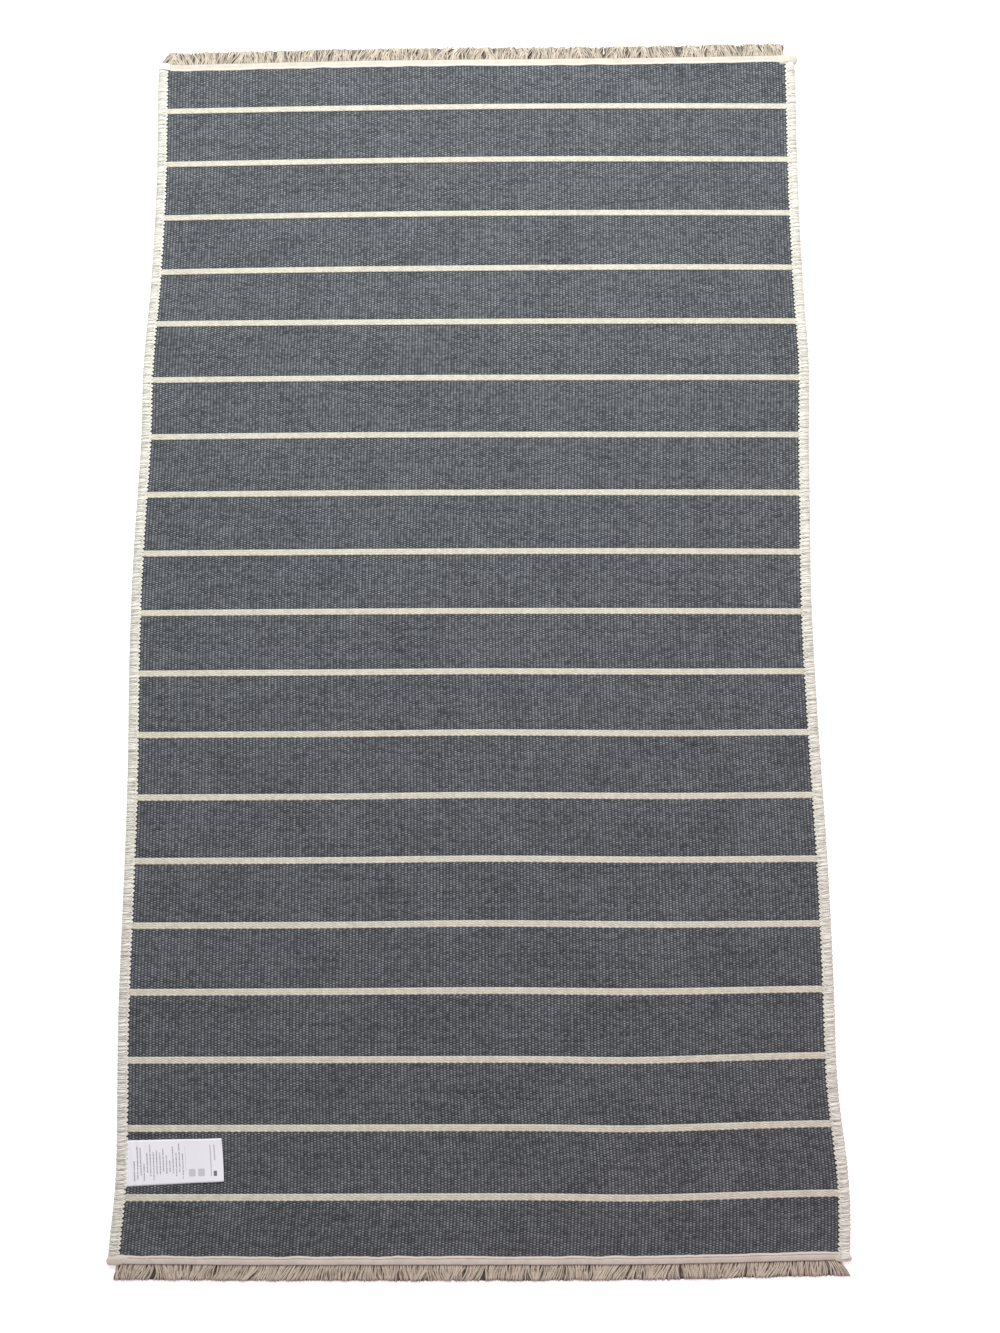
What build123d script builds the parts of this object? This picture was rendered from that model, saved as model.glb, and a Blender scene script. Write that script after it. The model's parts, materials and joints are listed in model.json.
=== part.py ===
from build123d import *
import os

# A flat-woven runner rug: a grey field crossed by cream stripes, a thick overlocked binding along both
# long edges, a cotton tape and a short fringe across both ends, and a sewn-in care label.
#
# Frame: X across the rug, +Y from the near end (with the label) to the far end, +Z up. The origin is at
# the middle of the underside. Lengths are in millimetres.
#
# The cloth bends at its stripes. Each stripe from FIRST_FOLD on starts a new section that hinges on a
# line through the middle of the cloth's thickness, so the rug can be folded, or rolled from the far end.

# plan
RUG_WIDTH = 600.0
STRIPE_COUNT = 19
STRIPE_PITCH = 53.85
STRIPE_WIDTH = 6.0
NEAR_BAND = 43.1  # grey cloth between the near tape and the first stripe
FAR_BAND = 38.5  # grey cloth between the last stripe and the far tape
NEAR_TAPE = 6.8
FAR_TAPE = 7.0
NEAR_FRINGE = 12.2
FAR_FRINGE = 12.8
CORNER_CUT = 3.0

# thickness
FIELD_THICKNESS = 3.4
BINDING_THICKNESS = 4.8
TAPE_THICKNESS = 0.7
MIDDLE = BINDING_THICKNESS / 2
FIELD_BOTTOM = MIDDLE - FIELD_THICKNESS / 2
FIELD_TOP = MIDDLE + FIELD_THICKNESS / 2

# side bindings
BINDING_WIDTH = 10.0
BINDING_BITE = 6.0  # how far the binding reaches in over the cloth's edge
FIELD_HALF = RUG_WIDTH / 2 - BINDING_WIDTH + BINDING_BITE
BINDING_INNER = RUG_WIDTH / 2 - BINDING_WIDTH

# folding
FIRST_FOLD = 5  # the first stripe, counted from the near end, that starts a hinged section
RUNNING_GAP = 0.4
FOLD_SETBACK = BINDING_THICKNESS / 2 + RUNNING_GAP  # from a fold line back to the section before it

# tape stitches
STITCH_PITCH = 4.0
STITCH_LENGTH = 2.6
STITCH_WIDTH = 0.5
STITCH_HEIGHT = 0.2
SEAM_SHARE = 0.72  # of the tape's width, from its outer edge in to the row of stitches

# fringe
CLUMP_PITCH = 6.0
CLUMP_WIDTH = 4.6
FRINGE_THICKNESS = 1.2
FRINGE_LIFT = 0.1  # clearance over the surface that the rug lies on
FRINGE_HEADER = 2.4
FRINGE_GAP = 0.3  # from the tape to the header
NEAR_FRINGE_SPAN = (-290.0, 292.0)
FAR_FRINGE_SPAN = (-294.0, 287.0)

# label
LABEL_LENGTH = 77.0
LABEL_WIDTH = 35.4
LABEL_THICKNESS = 0.3
LABEL_FROM_STRIPE = 10.4  # from the first stripe's centre to the label's near edge
LABEL_HINGE_X = -288.2
LABEL_LIFT = 0.3
LABEL_GAP = 0.3  # from the caught end to the loose length

# places along the rug
SHOWN_LENGTH = (
    NEAR_FRINGE + NEAR_TAPE + NEAR_BAND + STRIPE_WIDTH
    + (STRIPE_COUNT - 1) * STRIPE_PITCH
    + FAR_BAND + FAR_TAPE + FAR_FRINGE
)
NEAR_EDGE = -SHOWN_LENGTH / 2 + NEAR_FRINGE  # the outer edge of the near tape
FAR_EDGE = SHOWN_LENGTH / 2 - FAR_FRINGE
FIRST_STRIPE = NEAR_EDGE + NEAR_TAPE + NEAR_BAND + STRIPE_WIDTH / 2
CLOTH_UNDER_TAPE = 1.0  # the cloth's raw end stops this far inside the tape's outer edge


def stripe_start(number):
    """The near edge of a stripe, which is also the fold line of a hinged section."""
    return FIRST_STRIPE + (number - 1) * STRIPE_PITCH - STRIPE_WIDTH / 2


def block(x_range, y_range, z_range):
    """A box between three pairs of limits."""
    sizes = [high - low for low, high in (x_range, y_range, z_range)]
    centre = [(low + high) / 2 for low, high in (x_range, y_range, z_range)]
    return Pos(*centre) * Box(*sizes)


def round_bar(x_range, y, z, radius):
    """A round bar along X."""
    low, high = x_range
    return Pos((low + high) / 2, y, z) * Rot(0, 90, 0) * Cylinder(radius, high - low)


def cloth(y_range, rounded_start=False):
    """A stretch of the woven field. At a fold line its start is a half-round nose on that line."""
    across = (-FIELD_HALF, FIELD_HALF)
    piece = block(across, y_range, (FIELD_BOTTOM, FIELD_TOP))
    if rounded_start:
        piece += round_bar(across, y_range[0], MIDDLE, FIELD_THICKNESS / 2)
    return piece


def binding_pair(y_range, field, rounded_start=False):
    """The left and right binding along a stretch: a thick roll of thread that grips the cloth's edge."""
    height = (0, BINDING_THICKNESS)
    start, end = y_range
    roll_radius = BINDING_THICKNESS / 2
    reach = roll_radius if rounded_start else 0
    sides = []
    for side in (-1, 1):
        inner = side * BINDING_INNER
        roll_x = side * (RUG_WIDTH / 2 - roll_radius)
        across = (min(inner, roll_x), max(inner, roll_x))
        flat = block(across, (start - reach, end), height)
        roll = Pos(roll_x, (start - reach + end) / 2, MIDDLE) * Rot(90, 0, 0)
        roll = roll * Cylinder(roll_radius, end - start + reach)
        piece = flat + roll
        if rounded_start:
            wide = (side * BINDING_INNER - BINDING_WIDTH, side * BINDING_INNER + BINDING_WIDTH)
            nosed = block(wide, y_range, height) + round_bar(wide, start, MIDDLE, roll_radius)
            piece = piece & nosed
        sides.append(piece - field)
    return sides


def cut_corners(pieces):
    """Trims pieces to the rug's plan, whose corners are slightly cut off."""
    whole = Rectangle(RUG_WIDTH, FAR_EDGE - NEAR_EDGE)
    plan = chamfer(whole.vertices(), CORNER_CUT)
    tall = extrude(plan, BINDING_THICKNESS * 2)
    tall = Pos(0, (FAR_EDGE + NEAR_EDGE) / 2, -BINDING_THICKNESS / 2) * tall
    return [piece & tall for piece in pieces]


def end_tape(edge, inward, width):
    """A cotton tape folded over the cloth's end: a strip on top of it and a strip under it."""
    y_range = sorted((edge, edge + inward * width))
    across = (-BINDING_INNER, BINDING_INNER)
    upper = block(across, y_range, (FIELD_TOP, FIELD_TOP + TAPE_THICKNESS))
    lower = block(across, y_range, (FIELD_BOTTOM - TAPE_THICKNESS, FIELD_BOTTOM))
    return [upper, lower]


def tape_stitches(edge, inward, width):
    """The row of lockstitches that sews a tape down, near its inner edge."""
    row = edge + inward * width * SEAM_SHARE
    y_range = (row - STITCH_WIDTH / 2, row + STITCH_WIDTH / 2)
    top = FIELD_TOP + TAPE_THICKNESS
    count = int(2 * (BINDING_INNER - STITCH_LENGTH) / STITCH_PITCH)
    first = -(count - 1) * STITCH_PITCH / 2
    stitches = []
    for number in range(count):
        x = first + number * STITCH_PITCH
        x_range = (x - STITCH_LENGTH / 2, x + STITCH_LENGTH / 2)
        stitches.append(block(x_range, y_range, (top, top + STITCH_HEIGHT)))
    return stitches


def fringe_hinge(edge, outward):
    """The line about which a fringe swings, just outside the tape: its y and z."""
    return edge + outward * (FRINGE_THICKNESS / 2 + FRINGE_GAP), FRINGE_LIFT + FRINGE_THICKNESS / 2


def fringe(edge, outward, length, span):
    """A row of yarn clumps on a common header that hangs from the tape's outer edge."""
    y, z = fringe_hinge(edge, outward)
    height = (FRINGE_LIFT, FRINGE_LIFT + FRINGE_THICKNESS)
    header = block(span, sorted((y, y + outward * FRINGE_HEADER)), height)
    comb = header + round_bar(span, y, z, FRINGE_THICKNESS / 2)
    count = int((span[1] - span[0]) / CLUMP_PITCH)
    clumps = []
    for number in range(count):
        x = span[0] + (number + 0.5) * (span[1] - span[0]) / count
        x_range = (x - CLUMP_WIDTH / 2, x + CLUMP_WIDTH / 2)
        y_range = sorted((y + outward * FRINGE_HEADER, edge + outward * length))
        clumps.append(block(x_range, y_range, height))
    return comb + clumps


def label_limits():
    """The near and far edge of the label."""
    near = FIRST_STRIPE + LABEL_FROM_STRIPE
    return near, near + LABEL_WIDTH


def label_tail():
    """The end of the label that is caught under the binding."""
    end = LABEL_HINGE_X - LABEL_THICKNESS / 2 - LABEL_GAP
    return block((-FIELD_HALF, end), label_limits(), (FIELD_TOP, FIELD_TOP + LABEL_THICKNESS))


def label_flap():
    """The loose length of the label, which lifts about the line where the binding holds it."""
    bottom = FIELD_TOP + LABEL_LIFT
    z_range = (bottom, bottom + LABEL_THICKNESS)
    y_range = label_limits()
    flap = block((LABEL_HINGE_X, LABEL_HINGE_X + LABEL_LENGTH), y_range, z_range)
    nose = Cylinder(LABEL_THICKNESS / 2, LABEL_WIDTH)
    middle = (y_range[0] + y_range[1]) / 2
    return flap + Pos(LABEL_HINGE_X, middle, bottom + LABEL_THICKNESS / 2) * Rot(90, 0, 0) * nose


def near_section():
    """The stretch from the near tape to the first fold line. The label and the near fringe hang on it."""
    nodes = {}
    stripes = []
    start = NEAR_EDGE + CLOTH_UNDER_TAPE
    for number in range(1, FIRST_FOLD):
        line = stripe_start(number)
        nodes[f"field_band_{number:02d}"] = [cloth((start, line))]
        stripes.append(cloth((line, line + STRIPE_WIDTH)))
        start = line + STRIPE_WIDTH
    end = stripe_start(FIRST_FOLD) - FOLD_SETBACK
    nodes[f"field_band_{FIRST_FOLD:02d}"] = [cloth((start, end))]
    nodes["cream_stripes_near"] = stripes
    whole_field = cloth((NEAR_EDGE + CLOTH_UNDER_TAPE, end))
    bindings = binding_pair((NEAR_EDGE, end), whole_field)
    nodes["edge_binding_near"] = [piece - label_tail() for piece in cut_corners(bindings)]
    nodes["near_end_tape"] = end_tape(NEAR_EDGE, 1, NEAR_TAPE)
    nodes["near_tape_stitches"] = tape_stitches(NEAR_EDGE, 1, NEAR_TAPE)
    nodes["label_tail"] = [label_tail()]
    return nodes


def hinged_section(number):
    """One stripe, the grey band beyond it and the bindings at their sides."""
    line = stripe_start(number)
    last = number == STRIPE_COUNT
    end = FAR_EDGE if last else stripe_start(number + 1) - FOLD_SETBACK
    cloth_end = FAR_EDGE - CLOTH_UNDER_TAPE if last else end
    stripe = cloth((line, line + STRIPE_WIDTH), rounded_start=True)
    band = cloth((line + STRIPE_WIDTH, cloth_end))
    bindings = binding_pair((line, end), cloth((line, cloth_end), True), rounded_start=True)
    return {
        f"cream_stripe_{number:02d}": [stripe],
        f"field_band_{number + 1:02d}": [band],
        f"edge_binding_{number:02d}": cut_corners(bindings) if last else bindings,
    }


def rug():
    """Every node of the rug, by name, as a list of solids."""
    nodes = near_section()
    for number in range(FIRST_FOLD, STRIPE_COUNT + 1):
        nodes.update(hinged_section(number))
    nodes["far_end_tape"] = end_tape(FAR_EDGE, -1, FAR_TAPE)
    nodes["far_tape_stitches"] = tape_stitches(FAR_EDGE, -1, FAR_TAPE)
    nodes["near_fringe"] = [fringe(NEAR_EDGE, -1, NEAR_FRINGE, NEAR_FRINGE_SPAN)]
    nodes["far_fringe"] = [fringe(FAR_EDGE, 1, FAR_FRINGE, FAR_FRINGE_SPAN)]
    nodes["label_flap"] = [label_flap()]
    return nodes


os.makedirs("parts", exist_ok=True)
for name, pieces in rug().items():
    solids = [solid for piece in pieces for solid in piece.solids()]
    export_step(Compound(children=solids), f"parts/{name}.step")

print("near edge", round(NEAR_EDGE, 3), "far edge", round(FAR_EDGE, 3))
print("fold lines", [round(stripe_start(n), 3) for n in range(FIRST_FOLD, STRIPE_COUNT + 1)])
print("near fringe hinge", fringe_hinge(NEAR_EDGE, -1), "far", fringe_hinge(FAR_EDGE, 1))
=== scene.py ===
import json
import math

import bpy
import numpy as np
from mathutils import Matrix, Vector


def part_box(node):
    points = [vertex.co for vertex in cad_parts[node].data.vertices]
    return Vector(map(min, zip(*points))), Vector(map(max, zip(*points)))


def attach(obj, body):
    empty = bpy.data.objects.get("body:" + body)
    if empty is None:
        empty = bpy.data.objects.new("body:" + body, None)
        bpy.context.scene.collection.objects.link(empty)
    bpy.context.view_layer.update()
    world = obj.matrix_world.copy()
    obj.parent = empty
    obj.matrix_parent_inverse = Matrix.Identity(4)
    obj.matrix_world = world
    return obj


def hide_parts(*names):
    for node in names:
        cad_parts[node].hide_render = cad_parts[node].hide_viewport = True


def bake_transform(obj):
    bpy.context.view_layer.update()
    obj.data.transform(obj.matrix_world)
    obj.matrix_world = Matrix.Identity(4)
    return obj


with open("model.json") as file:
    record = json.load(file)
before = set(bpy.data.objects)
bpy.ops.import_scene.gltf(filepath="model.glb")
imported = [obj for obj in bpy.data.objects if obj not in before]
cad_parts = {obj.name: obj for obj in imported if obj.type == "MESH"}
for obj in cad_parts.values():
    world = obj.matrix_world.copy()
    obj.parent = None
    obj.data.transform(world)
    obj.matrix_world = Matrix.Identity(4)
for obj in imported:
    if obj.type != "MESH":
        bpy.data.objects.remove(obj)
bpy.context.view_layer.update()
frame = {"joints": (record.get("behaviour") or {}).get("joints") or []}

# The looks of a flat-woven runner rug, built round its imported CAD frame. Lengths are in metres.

MM = 0.001

# ---- places, read from the frame

FOLDS = {j["child"]: j for j in frame["joints"] if j["name"].startswith("fold_")}
JOINTS = {j["name"]: j for j in frame["joints"]}
FIRST_FOLD = min(int(body[-2:]) for body in FOLDS)
LAST_STRIPE = max(int(body[-2:]) for body in FOLDS)
LAST_BODY = f"section_{LAST_STRIPE:02d}"
FIRST_LINE = JOINTS[f"fold_{FIRST_FOLD:02d}"]["pos_m"][1]
LAST_LINE = JOINTS[f"fold_{LAST_STRIPE:02d}"]["pos_m"][1]
PITCH = (LAST_LINE - FIRST_LINE) / (LAST_STRIPE - FIRST_FOLD)
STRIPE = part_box(f"field_band_{FIRST_FOLD + 1:02d}")[0].y - FIRST_LINE

HALF_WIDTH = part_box("edge_binding_near")[1].x
INNER_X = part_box("near_end_tape")[1].x
NEAR_TAPE = tuple(corner.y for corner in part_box("near_end_tape"))
FAR_TAPE = tuple(corner.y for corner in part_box("far_end_tape"))
CLOTH_ENDS = (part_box("field_band_01")[0].y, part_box(f"field_band_{LAST_STRIPE + 1:02d}")[1].y)
CLOTH_BOTTOM, CLOTH_TOP = (corner.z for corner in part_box("field_band_01"))
CLOTH_MIDDLE = (CLOTH_BOTTOM + CLOTH_TOP) / 2


def stripe_middle(number):
    """The place of a cream stripe along the rug."""
    return FIRST_LINE + (number - FIRST_FOLD) * PITCH + STRIPE / 2


# ---- how the rug lies


def bump(value, place, spread):
    return np.exp(-0.5 * ((value - place) / spread) ** 2)


def ease(low, high, value):
    t = np.clip((value - low) / (high - low), 0, 1)
    return t * t * (3 - 2 * t)


def bumps(value, shapes):
    """Several bumps added up. Each shape is a size, a place and a spread."""
    return sum(size * bump(value, place, spread) for size, place, spread in shapes)


# how far the rug's width drifts to one side, and its sides swell out, in millimetres
SIDE_DRIFTS = ((-4.2, 0, 0.095), (1.7, 0.43, 0.14), (4.3, -0.475, 0.042))
SIDE_SWELLS = (
    (1.5, 0.52, 0.035), (-0.8, 0.38, 0.045), (2.8, 0.228, 0.038), (0.7, 0.10, 0.05),
    (-0.9, -0.12, 0.06), (-1.4, -0.40, 0.035), (1.3, -0.515, 0.03),
)
RIGHT_SIDE_SHIFT = 0.55


def side_shift(x, y):
    """How far the sides wander: the whole width drifts, and the sides pull in and out."""
    side = x / HALF_WIDTH
    drift = bumps(y, SIDE_DRIFTS) + RIGHT_SIDE_SHIFT * (1 + side)
    return (drift + bumps(y, SIDE_SWELLS) * side) * MM


def stripe_bow(x, y):
    """How far the stripes and tapes bow along the rug: six shapes across it, from end to end."""
    side = x / HALF_WIDTH
    near_tape = bumps(side, ((3.3, 1, 0.25), (1.0, -1, 0.2)))
    near = bumps(side, ((-1.2, 0.42, 0.13), (2.8, 1, 0.22))) - 0.9
    lower = bumps(side, ((1.0, 0, 0.2), (-0.6, 0.6, 0.18))) + 1.0
    middle = 1.1 - 0.9 * side - 1.2 * side**2
    far = -0.6 - 2.2 * side**2
    far_tape = bumps(side, ((1.0, 1, 0.2), (-3.0, -1, 0.35)))
    bow = near_tape
    # each shape takes over from the one before it between two places along the rug
    for shape, start, end in (
        (near, -0.53, -0.49), (lower, -0.40, -0.26), (middle, -0.12, 0.02),
        (far, 0.27, 0.32), (far_tape, 0.49, 0.53),
    ):
        share = ease(start, end, y)
        bow = bow * (1 - share) + shape * share
    return bow * MM


RIPPLE_MEAN = 0.40  # the two ripples together are never deeper than this
RIPPLES = (0.22, 0.18)


def lay(points):
    """Moves points of the flat pattern to where the rug really lies."""
    x, y = points[:, 0].copy(), points[:, 1].copy()
    ripple = RIPPLE_MEAN + RIPPLES[0] * np.sin(11 * x + 17 * y)
    ripple = ripple + RIPPLES[1] * np.sin(31 * y - 13 * x + 1)
    laid = points.copy()
    laid[:, 0] += side_shift(x, y)
    laid[:, 1] += stripe_bow(x, y)
    laid[:, 2] += ripple * MM
    return laid


# ---- chance


def scatter(a, b=0.0):
    """A number from 0 to 1 that looks random but depends only on a and b."""
    value = np.sin(np.asarray(a) * 12.9898 + np.asarray(b) * 78.233 + 4.1) * 43758.5453
    return value - np.floor(value)


def drift_along(x, wavelength, seed):
    """A smooth wander from -1 to 1 along x."""
    place = np.asarray(x) / wavelength + 1000
    knot = np.floor(place)
    t = place - knot
    t = t * t * (3 - 2 * t)
    return 2 * (scatter(knot, seed) * (1 - t) + scatter(knot + 1, seed) * t) - 1


# ---- mesh building


class Pattern:
    """Collects points and faces of the flat pattern, and makes one mesh object of them."""

    def __init__(self):
        self.points, self.faces, self.walls = [], [], []
        self.values = {"tone": [], "crest": [], "turn": []}
        self.count = 0

    def add(self, points, faces, tone, crest, turn=0.0):
        """points is (n, 3); faces is a list of (count, corners) index arrays.

        Materials read tone (how light a yarn is), crest (height on its form, which the grey cloth turns
        into painted light on its beads and painted shade in its gaps) and turn (its twist).
        Tapes and the label put their own measures in tone and crest.
        """
        size = len(points)
        self.points.append(points)
        self.faces += [corners + self.count for corners in faces]
        for name, value in (("tone", tone), ("crest", crest), ("turn", turn)):
            self.values[name].append(np.broadcast_to(np.asarray(value, float), size))
        self.count += size

    def make(self, name, material):
        """One object of all that was added: its faces are shaded smooth and its walls flat."""
        flat = np.concatenate(self.points)
        flat[:, 2] = np.maximum(flat[:, 2], 0)  # the floor flattens what lies on it
        mesh = bpy.data.meshes.new(name)
        faces = self.faces + self.walls
        corners = np.concatenate([f.ravel() for f in faces]).astype(np.int32)
        totals = np.concatenate([np.full(len(f), f.shape[1]) for f in faces])
        smooth = np.arange(len(totals)) < sum(len(f) for f in self.faces)
        starts = np.concatenate([[0], np.cumsum(totals)[:-1]]).astype(np.int32)
        mesh.vertices.add(len(flat))
        mesh.loops.add(len(corners))
        mesh.polygons.add(len(totals))
        mesh.vertices.foreach_set("co", lay(flat).astype(np.float32).ravel())
        mesh.loops.foreach_set("vertex_index", corners)
        mesh.polygons.foreach_set("loop_start", starts)
        mesh.update(calc_edges=True)
        mesh.polygons.foreach_set("use_smooth", smooth)
        for key, parts in self.values.items():
            layer = mesh.attributes.new(key, "FLOAT", "POINT")
            layer.data.foreach_set("value", np.concatenate(parts).astype(np.float32))
        place = mesh.attributes.new("place", "FLOAT_VECTOR", "POINT")
        place.data.foreach_set("vector", flat.astype(np.float32).ravel())
        mesh.materials.append(material)
        piece = bpy.data.objects.new(name, mesh)
        bpy.context.scene.collection.objects.link(piece)
        return piece


def unit(vectors):
    """The same directions with length 1."""
    tiny = 1e-12
    return vectors / np.maximum(np.linalg.norm(vectors, axis=-1, keepdims=True), tiny)


def add_tubes(pattern, paths, wide, high, sides, tone, sideways=None, twist=1.6 * MM):
    """Adds closed strands along many paths at once.

    paths is (strands, steps, 3). wide and high are half sizes, level and upright, that broadcast to
    (strands, steps). sideways is the level direction across a strand, if it can't be worked out.
    """
    strands, steps, _ = paths.shape
    along = unit(np.gradient(paths, axis=1))
    if sideways is None:
        across = unit(np.cross([0.0, 0.0, 1.0], along))
    else:
        hint = np.broadcast_to(np.asarray(sideways, float), paths.shape)
        across = unit(hint - (hint * along).sum(-1, keepdims=True) * along)
    upright = np.cross(along, across)
    wide = np.broadcast_to(wide, (strands, steps))[:, :, None, None]
    high = np.broadcast_to(high, (strands, steps))[:, :, None, None]
    angle = (np.arange(sides) / sides * 2 * math.pi - math.pi / 2)[:, None]
    ring = across[:, :, None] * wide * np.cos(angle) + upright[:, :, None] * high * np.sin(angle)
    points = (paths[:, :, None] + ring).reshape(-1, 3)
    lengths = np.linalg.norm(np.diff(paths, axis=1), axis=-1)
    run = np.concatenate([np.zeros((strands, 1)), np.cumsum(lengths, axis=1)], axis=1)
    turn = (run / twist)[:, :, None] + np.arange(sides) / sides
    index = np.arange(strands * steps * sides).reshape(strands, steps, sides)
    following = np.roll(index, -1, axis=2)
    quads = np.stack([index[:, :-1], following[:, :-1], following[:, 1:], index[:, 1:]], axis=-1)
    tones = np.broadcast_to(np.asarray(tone, float).reshape(-1, 1), (strands, steps * sides)).ravel()
    caps = [index[:, 0, ::-1], index[:, -1]]
    pattern.add(points, [quads.reshape(-1, 4), *caps], tones, 1.0, turn.ravel())


def grid_faces(index):
    """The faces between the neighbouring points of a grid."""
    corners = [index[:-1, :-1], index[:-1, 1:], index[1:, 1:], index[1:, :-1]]
    return np.stack(corners, axis=-1).reshape(-1, 4)


def closed_form(index, flip):
    """The faces of a closed form. index's rows run along the form and its columns run round it."""
    following = np.roll(index, -1, axis=1)
    quads = [index[:-1], following[:-1], following[1:], index[1:]]
    caps = [index[0, ::-1][None], index[-1][None]]
    if flip:
        quads = quads[::-1]
        caps = [cap[:, ::-1] for cap in caps]
    return [np.stack(quads, axis=-1).reshape(-1, 4), *caps]


def polyline(corners, steps):
    """A smooth line through corner points: (strands, corners, 3) becomes (strands, steps, 3)."""
    count = corners.shape[1]
    place = np.linspace(0, count - 1, steps)
    low = np.clip(np.floor(place).astype(int), 0, count - 2)
    t = (place - low)[:, None]
    before = corners[:, np.maximum(low - 1, 0)]
    first, second = corners[:, low], corners[:, low + 1]
    after = corners[:, np.minimum(low + 2, count - 1)]
    return 0.5 * (
        2 * first + (second - before) * t
        + (2 * before - 5 * first + 4 * second - after) * t**2
        + (3 * first - before - 3 * second + after) * t**3
    )


# ---- the woven field

RIBS = 214  # the cloth's ribs, side by side under its weft
CLOTH_HALF = 292.5 * MM
RIB = 2 * CLOTH_HALF / RIBS
PICKS = 56  # weft picks from one stripe to the next
PICK = PITCH / PICKS
TOP_STEPS = 4  # grid columns to a rib on the top face
UNDER_STEPS = 2

# how far a bead rises, and how light it is painted, from its rib's side to its middle and back: painted
# light on its middle and painted shade at its sides
BEAD_ROUND = {4: np.array([0, 0.68, 1.0, 0.68]), 2: np.array([0, 1.0])}
BEAD_PAINTED_LIGHT = {4: np.array([0, 0.60, 1.0, 0.60]), 2: np.array([0, 1.0])}

# depths below the cloth's face, in millimetres
BEAD_DEPTH = 0.42
GAP_DEPTH = 0.34
BED_DEPTH = 0.4  # under a stripe's floats
UNEVEN_DEPTH = 0.20

# how light the gaps between beads are painted: painted shade
GAP_PAINTED_LIGHT = 0.1
RIB_WANDER = 0.16 * MM
PICK_WANDER = 0.10 * MM


def weave_side(rows_y, rows, steps, surface, facing):
    """One face of the cloth as a grid: (points, tone, crest). Each rib is a column of weft beads. crest
    is painted light on the beads and painted shade in the gaps between them.
    """
    columns = np.arange(RIBS * steps + 1)
    rib, phase = np.divmod(columns, steps)
    roundness = BEAD_ROUND[steps][phase]
    raised = (rows[:, None] + rib) % 2 == 0
    bead = np.floor((rows[:, None] + rib + 1) / 2)
    chance = scatter(rib, bead + 37 * facing)
    target = np.where(raised, 0.0, BEAD_DEPTH) + UNEVEN_DEPTH * (chance - 0.5)
    shape = GAP_DEPTH + (target - GAP_DEPTH) * roundness
    # crest: painted light on a bead's middle, painted shade in the gaps between beads
    crest = GAP_PAINTED_LIGHT + (np.where(raised, 1.0, 0.0) - GAP_PAINTED_LIGHT) * BEAD_PAINTED_LIGHT[steps][phase]
    stripe_number = np.round((rows_y - stripe_middle(1)) / PITCH) + 1
    from_stripe = np.abs(rows_y - stripe_middle(stripe_number))
    sunk = BED_DEPTH * (from_stripe < STRIPE / 2)[:, None]
    x = -CLOTH_HALF + columns * RIB / steps
    wander = RIB_WANDER * drift_along(rows_y[:, None] * 1000, 7, rib * 0.37 + 3)
    points = np.empty((len(rows_y), len(columns), 3))
    points[..., 0] = x + wander * roundness
    points[..., 1] = rows_y[:, None] + PICK_WANDER * drift_along(x * 1000, 9, 5)
    points[..., 2] = surface - facing * (shape + sunk) * MM
    return points, chance, crest


def cloth_range(number):
    """Where a piece of cloth lies: one round each stripe, and a strip at each end."""
    if number == 0:
        return CLOTH_ENDS[0], stripe_middle(1) - PITCH / 2
    if number > LAST_STRIPE:
        return stripe_middle(LAST_STRIPE) + PITCH / 2, CLOTH_ENDS[1]
    return stripe_middle(number) - PITCH / 2, stripe_middle(number) + PITCH / 2


def rib_runs(line, steps):
    """The points of a row of the grid, rib by rib: one array for each of a rib's columns."""
    return [line[i : i + 1 + steps * (RIBS - 1) : steps] for i in range(steps + 1)]


def woven_stretch(number):
    """One piece of the grey cloth, with both faces woven in relief."""
    low, high = cloth_range(number)
    count = int(round((high - low) / PICK))
    rows = np.arange(count + 1) + (PICKS * (number - 1) if number else -count)
    rows = np.concatenate([rows[:1], rows, rows[-1:]])  # a short level row at each end hides the join
    rows_y = np.linspace(low, high, count + 1)
    join = 0.08 * PICK
    rows_y = np.concatenate([[low], [low + join], rows_y[1:-1], [high - join], [high]])
    pattern = Pattern()
    sides = []
    for steps, surface, facing in ((TOP_STEPS, CLOTH_TOP, 1), (UNDER_STEPS, CLOTH_BOTTOM, -1)):
        points, tone, crest = weave_side(rows_y, rows, steps, surface, facing)
        index = np.arange(points.shape[0] * points.shape[1]).reshape(points.shape[:2])
        quads = grid_faces(index)
        # each face starts at a corner of its higher diagonal
        height = facing * points[..., 2].ravel()
        other = height[quads[:, 1]] + height[quads[:, 3]] > height[quads[:, 0]] + height[quads[:, 2]]
        quads[other] = np.roll(quads[other], 1, axis=1)
        quads = quads if facing > 0 else quads[:, ::-1]
        sides.append(index)
        pattern.add(points.reshape(-1, 3), [quads], tone.ravel(), crest.ravel())
    top, under = sides[0], sides[1] + sides[0].size
    walls = []
    for column, order in ((0, 1), (-1, -1)):
        wall = [top[:-1, column], top[1:, column], under[1:, column], under[:-1, column]]
        walls.append(np.stack(wall[::order], axis=-1))
    for row, order in ((0, 1), (-1, -1)):
        wall = rib_runs(under[row], UNDER_STEPS) + rib_runs(top[row], TOP_STEPS)[::-1]
        walls.append(np.stack(wall[::order], axis=-1))
    pattern.walls += walls
    return pattern


FLOAT_ROWS = 3
FLOAT_PITCH = STRIPE / 3.5
FLOAT_HALF_HEIGHT = 0.42 * MM
FLOAT_TWIST = 2.2 * MM  # one turn of the yarn


def add_float_bed(pattern, y, height):
    """The flat cream thread that shows between a stripe's floats, in a lower tone as painted shade
    between them.
    """
    bed = np.zeros((1, 200, 3))
    bed[0, :, 0] = np.linspace(-CLOTH_HALF, CLOTH_HALF, bed.shape[1])
    bed[0, :, 1:] = y, height
    # tone 0.35, below every float's: painted shade between the floats
    add_tubes(pattern, bed, 0.49 * STRIPE, 0.38 * MM, 10, tone=0.35)


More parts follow.
